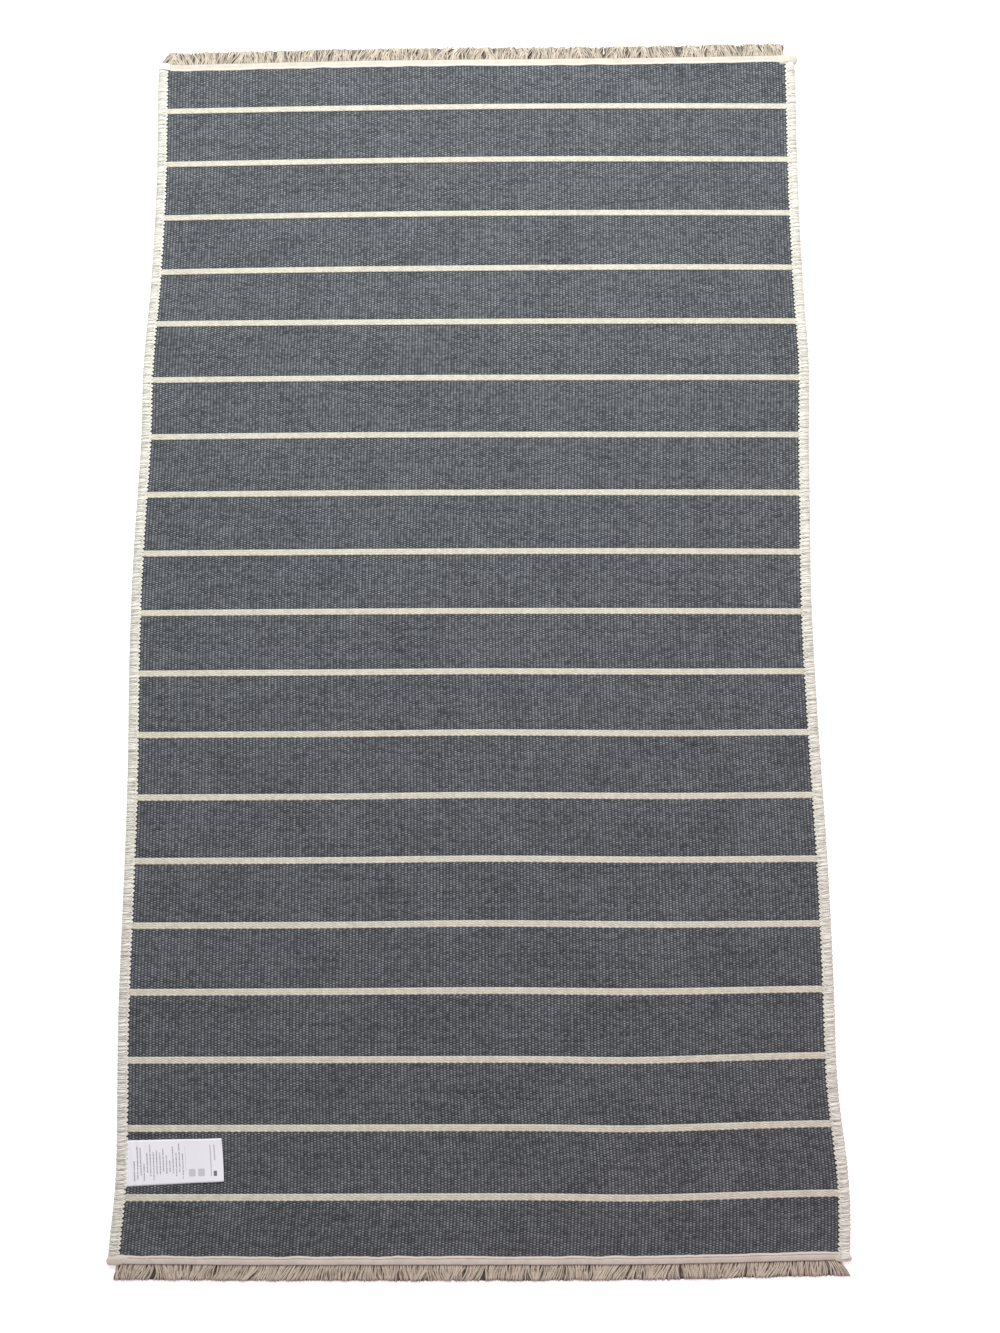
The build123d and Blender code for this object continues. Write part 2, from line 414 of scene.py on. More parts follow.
def stripe_floats(number):
    """The cream stripe: on both faces, each rib is crossed by three soft floats of thicker weft."""
    pattern = Pattern()
    rib = np.arange(RIBS)
    at_edge = (rib == 0) | (rib == RIBS - 1)
    slope = 0.08 + 0.22 * ease(0.15, -0.3, stripe_middle(number))  # more slant at the near end
    for facing, surface, detail in ((1, CLOTH_TOP, 5), (-1, CLOTH_BOTTOM, 4)):
        add_float_bed(pattern, stripe_middle(number), surface - facing * 0.06 * MM)
        s = np.linspace(-1, 1, detail)  # along a float, from end to end
        for row in range(FLOAT_ROWS):
            seed = number * 10 + row
            x = -CLOTH_HALF + (rib + 0.5 + 0.16 * (scatter(rib, seed + 1) - 0.5)) * RIB
            share = row - (FLOAT_ROWS - 1) / 2 + (0.15 if facing > 0 else -0.15) * (1 - 2 * (rib % 2))
            y = stripe_middle(number) - share * FLOAT_PITCH + 0.14 * MM * (scatter(rib, seed) - 0.5)
            slant = -slope * MM * (1 + 0.5 * drift_along(rib, 9, seed + 3))
            half = 0.62 * RIB * np.where(at_edge, 0.6, 1.0)
            paths = np.empty((RIBS, len(s), 3))
            paths[..., 0] = x[:, None] + s * half[:, None]
            paths[..., 1] = y[:, None] + slant[:, None] * s
            rise = 0.12 + 0.10 * (scatter(rib, seed + 5) - 0.5)
            paths[..., 2] = surface + facing * (rise[:, None] * (1 - s**2) - 0.10 * s**4) * MM
            width = FLOAT_PITCH * (0.30 + 0.28 * np.sqrt(1 - 0.9 * s**2))
            tone = 0.45 + 0.55 * scatter(rib, seed + 9)
            size = (width, FLOAT_HALF_HEIGHT)
            add_tubes(pattern, paths, *size, detail, tone=tone, twist=FLOAT_TWIST)
    return pattern


# ---- side bindings

STITCH = 3.75 * MM
BINDING_WIDTH = 10  # millimetres, from the inner edge to the outer
WRAP_LIMIT = 9.75
WRAP_REACH = 0.925  # the strands turn down just inside the chain of the outer edge

# where a strand runs round the edge: outward from the inner edge, and height, in millimetres
WRAP_OUTWARD, WRAP_HEIGHT = np.array([
    (0.5, 4.3), (2.2, 4.95), (4.8, 5.35), (7.0, 5.3), (8.8, 4.7), (9.75, 3.5), (10.0, 2.3),
    (9.7, 1.3), (8.6, 0.85), (6.4, 0.75), (3.6, 0.75), (1.6, 0.85),
]).T


def binding_strands(pattern, side, y, slant, sizes, seed, bright, inner):
    """Soft strands that wrap the edge, one at each y. sizes are half a width and height, in mm."""
    order = np.arange(len(y))
    lean = WRAP_OUTWARD / BINDING_WIDTH
    reach = 0.6 * (scatter(order, seed) - 0.5) + inner
    outward = WRAP_OUTWARD + reach[:, None] * (1 - lean)
    wander = 1.1 * (scatter(order, seed + 1) - 0.5)
    sway = 0.5 * (scatter(order, seed + 3) - 0.5)
    drift = (slant + wander[:, None]) * lean + sway[:, None] * np.sin(6 * lean)
    bulge = 0.5 * (scatter(order, seed + 2) - 0.5)
    above = np.sign(WRAP_HEIGHT - CLOTH_MIDDLE / MM)
    corners = np.empty((len(y), len(lean), 3))
    corners[..., 0] = side * (INNER_X + np.minimum(outward, WRAP_LIMIT) * WRAP_REACH * MM)
    corners[..., 1] = y[:, None] + drift * MM
    corners[..., 2] = (WRAP_HEIGHT + bulge[:, None] * above) * MM
    steps = 13
    taper = np.interp(np.linspace(0, 1, steps), [0, 0.1, 0.9, 1], [0.6, 1, 1, 0.6])
    size = 1 + 0.35 * (scatter(order, seed + 4) - 0.5)
    tone = np.clip(bright + 0.65 * (scatter(order, seed + 7) - 0.5), 0, 1)
    wide, high = sizes[0] * MM * size[:, None] * taper, sizes[1] * MM * taper
    path = polyline(corners, steps)
    add_tubes(pattern, path, wide, high, 6, sideways=(0, 1, 0), tone=tone, twist=3.4 * MM)


# the zigzag's corners: share of a stitch, and outward from the inner edge and lift, in millimetres
ZIGZAG = ((0.0, 2.3, 0.3), (0.20, 1.6, 0.2), (0.38, 0.50, 0.0), (0.60, 0.30, 0.0), (0.80, 1.25, 0.2))


def binding_zigzag(pattern, side, y, height, facing, seed, end_y):
    """The looped thread that bites into the cloth along the binding's inner edge."""
    order = np.arange(len(y) + 1)
    starts = np.append(y, end_y)
    corners = []
    for offset, outward, lift in ZIGZAG:
        jitter = 0.5 * (scatter(order, seed + offset * 10) - 0.5)
        place = np.stack([
            side * (INNER_X + (outward + jitter) * MM),
            starts + (offset + 0.10 * (scatter(order, seed + offset * 20) - 0.5)) * STITCH,
            np.full(len(order), height + facing * lift * MM),
        ], axis=-1)
        corners.append(place)
    line = np.stack(corners, axis=1).reshape(1, -1, 3)[:, : len(y) * len(ZIGZAG) + 1]
    path = polyline(line, len(y) * 9 + 1)
    swell = 1 + 0.25 * drift_along(np.arange(path.shape[1]), 3, seed)
    add_tubes(
        pattern, path, 0.66 * MM * swell, 0.48 * MM, 6,
        sideways=(side, 0, 0), tone=0.85, twist=2.6 * MM,
    )


def binding_rim(pattern, side, y_range, height, wave):
    """The chain of thread that runs along the outer edge."""
    low, high = y_range
    steps_per_stitch = 4
    y = np.linspace(low, high, int((high - low) / STITCH * steps_per_stitch) + 1)
    phase = 2 * math.pi * y / STITCH + side
    inward = 0.62 + wave * np.sin(phase)
    path = np.empty((1, len(y), 3))
    path[0, :, 0] = side * (HALF_WIDTH - inward * MM)
    path[0, :, 1] = y
    path[0, :, 2] = height + 0.3 * MM * np.cos(phase)
    swell = 1 + 0.12 * np.cos(phase)
    add_tubes(
        pattern, path, 0.58 * MM * swell, 0.5 * MM, 6,
        sideways=(side, 0, 0), tone=0.6, twist=2.4 * MM,
    )


def binding_core(pattern, side, y_range):
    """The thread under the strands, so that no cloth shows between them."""
    path = np.zeros((1, 12, 3))
    path[0, :, 0] = side * (INNER_X + 6.0 * MM)
    path[0, :, 1] = np.linspace(*y_range, path.shape[1])
    path[0, :, 2] = CLOTH_MIDDLE + 0.4 * MM
    add_tubes(pattern, path, 3.6 * MM, 2.6 * MM, 14, sideways=(side, 0, 0), tone=0.45)


def corner_tacks(pattern, side, y_low, y_high, inner, pinch):
    """The last four strands of a binding: thicker, whiter and drawn over the tape's end."""
    y = np.linspace(y_low, y_high, 4)
    middle = (y_low + y_high) / 2
    outward = inner + (9.7 - inner) * np.array([0, 0.25, 0.54, 0.83, 1.0])
    height = np.array([4.9, 5.7, 5.9, 5.5, 3.9])
    lean = np.array([0.9, 0.2, -0.3, 0.5])[:, None] * outward / BINDING_WIDTH
    drawn = 1 - pinch * np.clip(outward, 0, BINDING_WIDTH) / BINDING_WIDTH
    corners = np.empty((len(y), len(outward), 3))
    corners[..., 0] = side * (INNER_X + outward * MM)
    corners[..., 1] = middle + (y - middle)[:, None] * drawn + lean * MM
    corners[..., 2] = height * MM
    steps = 11
    taper = np.interp(np.linspace(0, 1, steps), [0, 0.15, 0.85, 1], [0.5, 1, 1, 0.6])
    add_tubes(
        pattern, polyline(corners, steps), 1.05 * MM * taper, 0.6 * MM * taper, 8,
        sideways=(0, 1, 0), tone=1.0, twist=4 * MM,
    )


# the three strands of each stitch: place (share of a stitch), added slant, half width, half height,
# added seed, brightness, and how far out from the inner edge it starts (millimetres)
STRANDS = (
    (0.52, 0.0, 0.95, 0.50, 0, 0.80, 0.1),
    (0.18, 0.2, 0.80, 0.42, 20, 0.60, 1.4),
    (0.85, -0.2, 0.82, 0.45, 40, 0.70, 1.4),
)


def binding_stretch(number):
    """Both side bindings along one stretch of the rug."""
    pattern = Pattern()
    for side in (-1, 1):
        low, high = cloth_range(number)
        if number == 1:
            low = NEAR_TAPE[1] - 2.5 * MM if side < 0 else NEAR_TAPE[0] + 1.2 * MM
        if number == LAST_STRIPE:
            high = FAR_TAPE[1] - 1.0 * MM if side < 0 else FAR_TAPE[0] + 2.5 * MM
        order = np.arange(math.ceil(low / STITCH), math.ceil(high / STITCH))
        y = order * STITCH + 0.5 * MM * (scatter(order, side) - 0.5)
        seed = number * 3.1 + side
        slant = -0.5 if side < 0 else 0.9
        binding_core(pattern, side, (low, high))
        for share, tilt, *sizes, more, bright, inner in STRANDS:
            strand_y = y + share * STITCH
            binding_strands(pattern, side, strand_y, slant + tilt, sizes, seed + more, bright, inner)
        end_y = (order[-1] + 1) * STITCH
        for facing, height in ((1, CLOTH_TOP + 0.4 * MM), (-1, CLOTH_BOTTOM - 0.25 * MM)):
            binding_zigzag(pattern, side, y, height, facing, seed, end_y)
        rim_height, wave = ((2.6 * MM, 0.1) if side < 0 else (3.6 * MM, 0.2))
        binding_rim(pattern, side, (low, high), rim_height, wave)
        if number == 1 and side > 0:
            corner_tacks(pattern, side, NEAR_TAPE[0] + 1.4 * MM, NEAR_TAPE[0] + 6.6 * MM, 2.4, 0.5)
        if number == LAST_STRIPE and side < 0:
            corner_tacks(pattern, side, FAR_TAPE[0] + 1.5 * MM, FAR_TAPE[1] - 1.0 * MM, -2.2, 0.0)
    return pattern


# ---- end tapes


TAPE_SECTION = np.array([
    # share of the width from the inner edge, height in tape thicknesses
    (0.0, 0.05), (0.03, 0.55), (0.09, 0.85), (0.17, 0.92), (0.23, 0.85), (0.27, 0.45), (0.30, 0.20),
    (0.33, 0.50), (0.38, 0.95), (0.50, 1.12), (0.70, 1.10), (0.86, 0.95), (0.95, 0.60), (1.0, -0.15),
])
SEAM_SHARE = 0.30


def tape_mesh(y_range, inner_is_high, reach, thick, groove):
    """A tape over the cloth's end, as two closed strips: one on top and one under it."""
    pattern = Pattern()
    outer, inner = y_range if inner_is_high else y_range[::-1]
    share = TAPE_SECTION[:, 0][:, None]
    filled = (1 - groove) * 0.75 * bump(TAPE_SECTION[:, 0], SEAM_SHARE, 0.045)
    lift = TAPE_SECTION[:, 1] + filled
    x = np.linspace(reach[0], reach[1], 420)
    for facing, surface in ((1, CLOTH_TOP), (-1, CLOTH_BOTTOM)):
        waviness = (0.40 * drift_along(x * 1000, 16, 3) + 0.2 * drift_along(x * 1000, 5, 8)) * MM
        y = inner + (outer - inner) * share + waviness * (1 - share)
        y = y + 0.15 * MM * drift_along(x * 1000, 9, 21) * share
        pucker = 0.12 * drift_along(x * 1000, 3.1, 6) * bump(share, 0.22, 0.15)
        height = lift[:, None] * thick / MM + pucker + 0.1 * drift_along(x * 1000, 11, 4)
        outside = np.stack([np.broadcast_to(x, y.shape), y, surface + facing * height * MM], axis=-1)
        inside = outside.copy()
        inside[..., 2] = surface - facing * 0.1 * MM
        inside[0, :, 2] = surface - facing * 0.15 * MM
        inside[-1, :, 2] = surface - facing * 1.0 * MM
        loop = np.concatenate([outside, inside[::-1]], axis=0)
        index = np.arange(loop.shape[0] * len(x)).reshape(-1, len(x))
        faces = closed_form(index.T, (facing > 0) != (outer < inner))
        # inward and lifted go into crest and tone, which the tape's material uses to paint shade at the
        # outer edge and where the tape lies low
        inward = np.tile(np.repeat(1 - share, len(x), 1), (2, 1)).ravel()
        lifted = np.tile(np.repeat(lift[:, None], len(x), 1), (2, 1)).ravel()
        pattern.add(loop.reshape(-1, 3), faces, np.clip(lifted, 0, 1), inward)
    return pattern


def tape_seam(y_range, inner_is_high, thick):
    """The lockstitches that hold a tape, drawn down into it."""
    pattern = Pattern()
    outer, inner = y_range if inner_is_high else y_range[::-1]
    margin, pitch, half_length = 6 * MM, 4 * MM, 1.7 * MM
    x = np.arange(-INNER_X + margin, INNER_X - margin, pitch)
    order = np.arange(len(x))
    s = np.linspace(-1, 1, 6)
    paths = np.empty((len(x), len(s), 3))
    paths[..., 0] = x[:, None] + s * half_length
    wander = 0.12 * MM * (scatter(order, 2)[:, None] - 0.5)
    paths[..., 1] = inner + (outer - inner) * SEAM_SHARE + wander
    paths[..., 2] = CLOTH_TOP + thick * 0.45 + 0.22 * MM * (1 - s**4)
    add_tubes(pattern, paths, 0.18 * MM, 0.15 * MM, 6, tone=scatter(order, 5), twist=1.2 * MM)
    return pattern


def tape_wrap(pattern, root, tip, middle, half_depth, top, skew):
    """A tape's end turned round the end of the binding: one puffed closed form along x.

    Every length here is in millimetres, and root, where the form starts, is also its seed.
    """
    steps, sides = 22, 28
    floor_gap, flat_top = 0.2, CLOTH_TOP / MM + 0.9
    t = np.linspace(0, 1, steps)[:, None]
    rounded = np.clip(1 - np.clip((t - 0.80) / 0.20, 0, 1) ** 3.0, 0.12, 1) ** 0.5
    angle = np.arange(sides) / sides * 2 * math.pi
    round_y = np.sign(np.cos(angle)) * np.abs(np.cos(angle)) ** 0.75
    round_z = np.sign(np.sin(angle)) * np.abs(np.sin(angle)) ** 0.75
    depth = half_depth * (0.94 + 0.08 * np.sin(5 * t + root)) * rounded
    half_height = (flat_top + (top - flat_top) * ease(0, 0.45, t) - floor_gap) / 2
    share = depth * round_y / half_depth
    lumps = 0.28 * drift_along(t * 9 + 3 * share, 1.3, root)
    lumps = lumps + 0.15 * drift_along(share * 6 + t * 4, 1.0, root + 2)
    points = np.empty((steps, sides, 3))
    points[..., 0] = root + (tip - root) * t + skew * share * (1 - t)
    points[..., 1] = middle + depth * round_y
    points[..., 2] = floor_gap + half_height + half_height * (0.55 + 0.45 * rounded) * round_z
    points[..., 2] += lumps * (round_z > 0)
    faces = closed_form(np.arange(steps * sides).reshape(steps, sides), tip < root)
    pattern.add(points.reshape(-1, 3) * MM, faces, 0.9, 0.72)


# ---- fringes


# each fringe's layers of yarn from the floor up, in millimetres: root and tip are heights, lean is
# a share of the length, tuft is the width of yarns that lean together, and bright is a layer's tone,
# darker nearer the floor as painted shade between the yarns
NEAR_LAYERS = (
    dict(spacing=0.60, lean=0.08, tuft=9.0, root=0.7, tip=0.6, radius=0.62, bright=0.0),
    dict(spacing=0.80, lean=0.40, tuft=8.0, root=1.3, tip=0.9, radius=0.58, bright=0.20),
    dict(spacing=0.95, lean=0.48, tuft=8.0, root=1.9, tip=1.3, radius=0.58, bright=0.65),
    dict(spacing=1.60, lean=0.58, tuft=8.0, root=2.6, tip=1.8, radius=0.60, bright=1.00),
)
FAR_LAYERS = (
    dict(spacing=0.60, lean=0.10, tuft=9.0, root=0.7, tip=0.6, radius=0.62, bright=0.1),
    dict(spacing=0.80, lean=0.50, tuft=6.0, root=1.5, tip=1.2, radius=0.58, bright=0.30),
    dict(spacing=0.90, lean=0.60, tuft=6.0, root=2.2, tip=2.0, radius=0.60, bright=0.50),
    dict(spacing=1.15, lean=0.75, tuft=6.0, root=2.9, tip=2.9, radius=0.62, bright=0.75),
)
YARN_STEPS = 7


def fringe_strands(edge, outward, tip, span, layers, bends, sway, corners, seed):
    """Loose yarns that come out from under a tape in small tufts and lie down to the floor, the lower
    layers darker as painted shade.

    bends is how far they curve, in millimetres. sway is how far they all lean, and corners how far
    those at each end of the span do, as shares of their length.
    """
    pattern = Pattern()
    length = abs(tip - edge)
    s = np.linspace(0, 1, YARN_STEPS)  # along a yarn, from under the tape to its tip
    for number, layer in enumerate(layers):
        count = int((span[1] - span[0]) / (layer["spacing"] * MM))
        order = np.arange(count)
        chance = [scatter(order, seed + number * 13 + k) - 0.5 for k in range(8)]
        x = span[0] + (order + 0.5 + 0.6 * chance[0]) * (span[1] - span[0]) / count
        group = np.floor(x * 1000 / layer["tuft"] + 0.6 * drift_along(x * 1000, 31, seed))
        lean = 0.75 * drift_along(x * 1000, 15, seed + 7) + 0.9 * (scatter(group, seed) - 0.5)
        lean = layer["lean"] * (lean + sway + 0.40 * chance[1])
        lean = lean + corners[0] * bump(x, span[0], 7 * MM) + corners[1] * bump(x, span[1], 7 * MM)
        reach = length * (1.06 + 0.06 * chance[2] + 0.035 * drift_along(x * 1000, 8, seed + 2))
        looseness = min(1, 2 * layer["lean"])
        curve = bends * looseness * (1.1 * (scatter(group, seed + 40) - 0.5) + 0.55 * chance[3])
        curl = bends * 0.6 * chance[4]
        sideways = lean[:, None] * (0.55 * s + 0.45 * s**2) * reach[:, None]
        swing = curve[:, None] * np.sin(math.pi * s) + curl[:, None] * np.sin(2 * math.pi * s)
        drop = layer["root"] + (layer["tip"] - layer["root"]) * ease(0.1, 0.9, s)
        heap = (0.4 + chance[5])[:, None] * 0.8 * np.sin(math.pi * np.clip(s * 1.1, 0, 1))
        hidden = 2.0 * MM  # the part under the tape
        paths = np.empty((count, YARN_STEPS, 3))
        paths[..., 0] = x[:, None] + sideways + swing * MM
        paths[..., 1] = edge - outward * hidden + outward * (reach[:, None] + hidden) * s
        paths[..., 2] = np.maximum(drop + heap, layer["radius"]) * MM
        taper = np.interp(s, [0, 0.92, 1], [1, 1, 0.75])
        thick = (layer["radius"] * (1 + 0.2 * chance[6]))[:, None] * taper
        # lower layers get a low bright: painted shade between the yarns near the floor
        tone = np.clip(layer["bright"] + 0.35 * chance[7], 0, 1)
        add_tubes(pattern, paths, thick * MM, thick * MM, 4, tone=tone, twist=1.9 * MM)
    return pattern


# ---- label


LABEL_THICKNESS = 0.14 * MM


def label_mesh():
    """A satin ribbon: its end is caught under the binding and the rest lies loose on the cloth."""
    low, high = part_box("label_flap")
    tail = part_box("label_tail")[0].x
    grid_x, grid_y = np.meshgrid(np.linspace(tail, high.x, 90), np.linspace(low.y, high.y, 26))
    middle = (low.y + high.y) / 2
    free = ease(low.x, high.x, grid_x)
    across = (grid_y - middle) / (high.y - low.y) * 2
    curl = 0.9 * free**2 * (0.35 + 0.65 * across**2) + 0.25 * free * np.sin(grid_x * 160 + across)
    dents = 0.22 * bump(grid_x, low.x + 6 * MM, 5 * MM) * np.sin(grid_x * 900 + 2.5 * across)
    base = CLOTH_TOP + 0.28 * MM + ease(tail, low.x + 3 * MM, grid_x) * 0.12 * MM
    narrowing = 1 - 0.07 * (grid_x - tail) / (high.x - tail)
    laid_y = middle - 1.6 * MM + (grid_y - middle) * 1.02 * narrowing + 0.037 * (grid_x - tail)
    laid_x = grid_x - 0.07 * (grid_y - middle)
    top = np.stack([laid_x, laid_y, base + (curl + dents) * MM], axis=-1)
    under = top.copy()
    under[..., 2] -= LABEL_THICKNESS
    size = grid_x.size
    index = np.arange(size).reshape(grid_x.shape)
    face = grid_faces(index)
    quads = [face, face[:, ::-1] + size]
    for line, order in ((index[0], 1), (index[-1], -1), (index[:, 0], -1), (index[:, -1], 1)):
        wall = [line[:-1], line[:-1] + size, line[1:] + size, line[1:]]
        quads.append(np.stack(wall[::order], -1))
    flat = np.stack([grid_x, grid_y], axis=-1).reshape(-1, 2)
    along = (flat[:, 0] - low.x) / (high.x - low.x)
    upward = (flat[:, 1] - low.y) / (high.y - low.y)
    unprinted = -2  # takes the underside out of the print's range
    pattern = Pattern()
    pattern.add(
        np.concatenate([top.reshape(-1, 3), under.reshape(-1, 3)]), quads,
        np.tile(upward, 2), np.concatenate([along, along + unprinted]),
    )
    return pattern


# ---- materials


def new_material(name, rough, sheen, specular):
    """A material with its node tree and its shader."""
    material = bpy.data.materials.new(name)
    material.use_nodes = True
    shader = material.node_tree.nodes["Principled BSDF"]
    shader.inputs["Roughness"].default_value = rough
    shader.inputs["Specular IOR Level"].default_value = specular
    shader.inputs["Sheen Weight"].default_value = sheen
    return material, material.node_tree, shader


def attribute(tree, name, output="Fac"):
    node = tree.nodes.new("ShaderNodeAttribute")
    node.attribute_name = name
    return node.outputs[output]


def maths(tree, operation, first, second=None, third=None):
    node = tree.nodes.new("ShaderNodeMath")
    node.operation = operation
    for socket, value in zip(node.inputs, (first, second, third)):
        if value is None:
            continue
        if isinstance(value, (int, float)):
            socket.default_value = value
        else:
            tree.links.new(value, socket)
    return node.outputs[0]


def mix(tree, factor, first, second):
    node = tree.nodes.new("ShaderNodeMix")
    node.data_type = "RGBA"
    for socket, value in zip((node.inputs[0], node.inputs[6], node.inputs[7]), (factor, first, second)):
        if isinstance(value, (int, float)):
            socket.default_value = value
        elif isinstance(value, tuple):
            socket.default_value = (*value, 1)
        else:
            tree.links.new(value, socket)
    return node.outputs[2]


def noise(tree, scale, stretch_by, detail):
    """Noise over the flat pattern, so that it stays on the cloth when the rug bends."""
    mapping = tree.nodes.new("ShaderNodeMapping")
    mapping.inputs["Scale"].default_value = stretch_by
    tree.links.new(attribute(tree, "place", "Vector"), mapping.inputs["Vector"])
    node = tree.nodes.new("ShaderNodeTexNoise")
    node.inputs["Scale"].default_value = scale
    node.inputs["Detail"].default_value = detail
    tree.links.new(mapping.outputs["Vector"], node.inputs["Vector"])
    return node.outputs["Fac"]


def spread(tree, value, low, high, out_low=0.0, out_high=1.0):
    """Turns the range from low to high into the range from out_low to out_high."""
    node = tree.nodes.new("ShaderNodeMapRange")
    for socket, number in zip(node.inputs[1:5], (low, high, out_low, out_high)):
        socket.default_value = number
    tree.links.new(value, node.inputs["Value"])
    return node.outputs["Result"]


def cover(tree, shader, colour, height, distance, strength):
    """Gives the shader its colour, and a relief of that height."""
    tree.links.new(colour, shader.inputs["Base Color"])
    node = tree.nodes.new("ShaderNodeBump")
    node.inputs["Strength"].default_value = strength
    node.inputs["Distance"].default_value = distance
    tree.links.new(height, node.inputs["Height"])
    tree.links.new(node.outputs["Normal"], shader.inputs["Normal"])


def shaded(tree, colour, value):
    """The colour made lighter or darker by a factor."""
    node = tree.nodes.new("ShaderNodeHueSaturation")
    tree.links.new(colour, node.inputs["Color"])
    tree.links.new(value, node.inputs["Value"])
    return node.outputs["Color"]


def grey_weave():
    """Mottled grey weft: bead crests painted light and gaps painted dark as shade, uneven yarn from
    pick to pick.
    """
    material, tree, shader = new_material("grey_weave", 0.9, 0.15, 0.2)
    crest = attribute(tree, "crest")
    tone = attribute(tree, "tone")
    streaks = spread(tree, noise(tree, 60, (0.35, 9, 1), 3), 0.3, 0.7, -0.14, 0.14)
    ribs = spread(tree, noise(tree, 60, (9, 0.3, 1), 2), 0.3, 0.7, -0.08, 0.08)
    patches = spread(tree, noise(tree, 22, (1, 1, 1), 2), 0.35, 0.65, -0.06, 0.06)
    uneven = maths(tree, "ADD", maths(tree, "ADD", streaks, ribs), patches)
    bead = maths(tree, "MULTIPLY_ADD", tone, 0.60, maths(tree, "ADD", uneven, 0.40))
    # light: painted light on the bead crests and painted shade in the gaps, times the yarn's own uneven
    # tone
    light = maths(tree, "MULTIPLY", maths(tree, "POWER", crest, 1.4), bead)
    colour = mix(tree, light, (0.017, 0.020, 0.023), (0.425, 0.466, 0.490))
    fibres = noise(tree, 2600, (1, 0.6, 1), 2)
    colour = shaded(tree, colour, spread(tree, fibres, 0.3, 0.7, 0.82, 1.18))
    cover(tree, shader, colour, fibres, 0.12 * MM, 0.7)
    return material


def spun_yarn(
    name, dull, light, rough, sheen=0.1, plies=2.0, depth=0.06, groove_shade=0.95, specular=0.3
):
    """A twisted yarn: plies that wind round the strand, with painted shade in the grooves between them,
    uneven tone and fine fibres.
    """
    material, tree, shader = new_material(name, rough, sheen, specular)
    tone = attribute(tree, "tone")
    turn = attribute(tree, "turn")
    groove = maths(tree, "SINE", maths(tree, "MULTIPLY", turn, plies * 2 * math.pi))
    fibres = noise(tree, 2200, (1, 1, 1), 2)
    patches = spread(tree, noise(tree, 180, (1, 1, 1), 2), 0.3, 0.7, -0.2, 0.2)
    colour = mix(tree, maths(tree, "ADD", tone, patches), dull, light)
    # painted shade in the grooves between the plies
    colour = shaded(tree, colour, spread(tree, groove, -1, 0.4, groove_shade, 1.0))
    height = maths(tree, "MULTIPLY_ADD", fibres, 0.8, groove)
    cover(tree, shader, colour, height, depth * MM, 0.5)
    return material


def tape_cotton():
    """A close plain cotton with flecks, lighter inside its seam, with painted shade where it lies low
    (its seam groove and its edges) and at its outer edge.
    """
    material, tree, shader = new_material("tape_cotton", 0.85, 0.1, 0.25)
    inward = attribute(tree, "crest")
    lift = attribute(tree, "tone")
    patches = spread(tree, noise(tree, 120, (1, 1, 1), 3), 0.3, 0.7)
    colour = mix(tree, patches, (0.558, 0.515, 0.441), (0.655, 0.619, 0.530))
    colour = mix(tree, spread(tree, inward, 0.70, 0.76, 0, 0.7), colour, (0.78, 0.74, 0.66))
    flecks = spread(tree, noise(tree, 900, (0.5, 1, 1), 1), 0.70, 0.78, 0, 0.7)
    colour = mix(tree, flecks, colour, (0.38, 0.32, 0.26))
    # painted shade where the tape lies low: in its seam groove and at its edges
    colour = shaded(tree, colour, spread(tree, lift, 0.15, 0.7, 0.5, 1.0))
    # painted shade along the outer edge, where the tape meets the fringe
    colour = shaded(tree, colour, spread(tree, inward, 0.0, 0.16, 0.55, 1.0))
    cover(tree, shader, colour, noise(tree, 1500, (1, 2.2, 1), 2), 0.15 * MM, 0.8)
    return material


PRINT_ROWS = 29  # rows of print that would fit along the whole label
PRINT_COLOUR = (0.10, 0.10, 0.14)
BLOCK_COLOUR = (0.10, 0.10, 0.13)

# plain blocks of print: along from, along to, upward from, upward to, ink
PRINT_BLOCKS = (
    (0.63, 0.70, 0.15, 0.32, 0.35),
    (0.73, 0.80, 0.15, 0.32, 0.35),
    (0.865, 0.875, 0.14, 0.86, 0.5),
    (0.905, 0.92, 0.50, 0.86, 0.4),
    (0.895, 0.93, 0.14, 0.26, 0.9),
)


def printed_lines(tree, along, upward):
    """How much ink there is: one bar of chance length to a row, over the first part of the label."""
    row = maths(tree, "MULTIPLY", along, PRINT_ROWS)
    chance = tree.nodes.new("ShaderNodeTexWhiteNoise")
    chance.noise_dimensions = "1D"
    tree.links.new(maths(tree, "FLOOR", row), chance.inputs["W"])
    pick = chance.outputs["Value"]
    other_pick = maths(tree, "FRACT", maths(tree, "MULTIPLY", pick, 7))
    top = maths(tree, "MULTIPLY_ADD", pick, 0.45, 0.48)
    bottom = maths(tree, "MULTIPLY_ADD", other_pick, 0.22, 0.10)
    inked = maths(tree, "COMPARE", maths(tree, "FRACT", row), 0.5, 0.17)
    for value, limit, test in (
        (upward, top, "LESS_THAN"), (upward, bottom, "GREATER_THAN"),
        (along, 0.03, "GREATER_THAN"), (along, 0.60, "LESS_THAN"),
    ):
        inked = maths(tree, "MULTIPLY", inked, maths(tree, test, value, limit))
    dashes = spread(tree, noise(tree, 1500, (0.1, 1, 1), 1), 0.30, 0.62, 0.25, 1)
    return maths(tree, "MULTIPLY", maths(tree, "MULTIPLY", inked, dashes), 0.75)


def label_satin():
    """White satin ribbon, with plain grey bars and blocks in place of print."""
    material, tree, shader = new_material("label_satin", 0.38, 0.1, 0.5)
    along = attribute(tree, "crest")
    upward = attribute(tree, "tone")
    colour = mix(tree, printed_lines(tree, along, upward), (0.88, 0.91, 0.94), PRINT_COLOUR)
    for x0, x1, y0, y1, ink in PRINT_BLOCKS:
        block_x = maths(tree, "COMPARE", along, (x0 + x1) / 2, (x1 - x0) / 2)
        block_y = maths(tree, "COMPARE", upward, (y0 + y1) / 2, (y1 - y0) / 2)
        block = maths(tree, "MULTIPLY", block_x, block_y)
        colour = mix(tree, maths(tree, "MULTIPLY", block, ink), colour, BLOCK_COLOUR)
    cover(tree, shader, colour, noise(tree, 1400, (0.15, 4, 1), 2), 0.05 * MM, 0.5)
    return material


# ---- putting it together


def bend_or_ride(piece, number):
    """A piece on the flat near end rides on that end; any other stays where it lies, its transform
    baked into its mesh.
    """
    if number < FIRST_FOLD:
        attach(piece, "near_end")
        return
    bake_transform(piece)


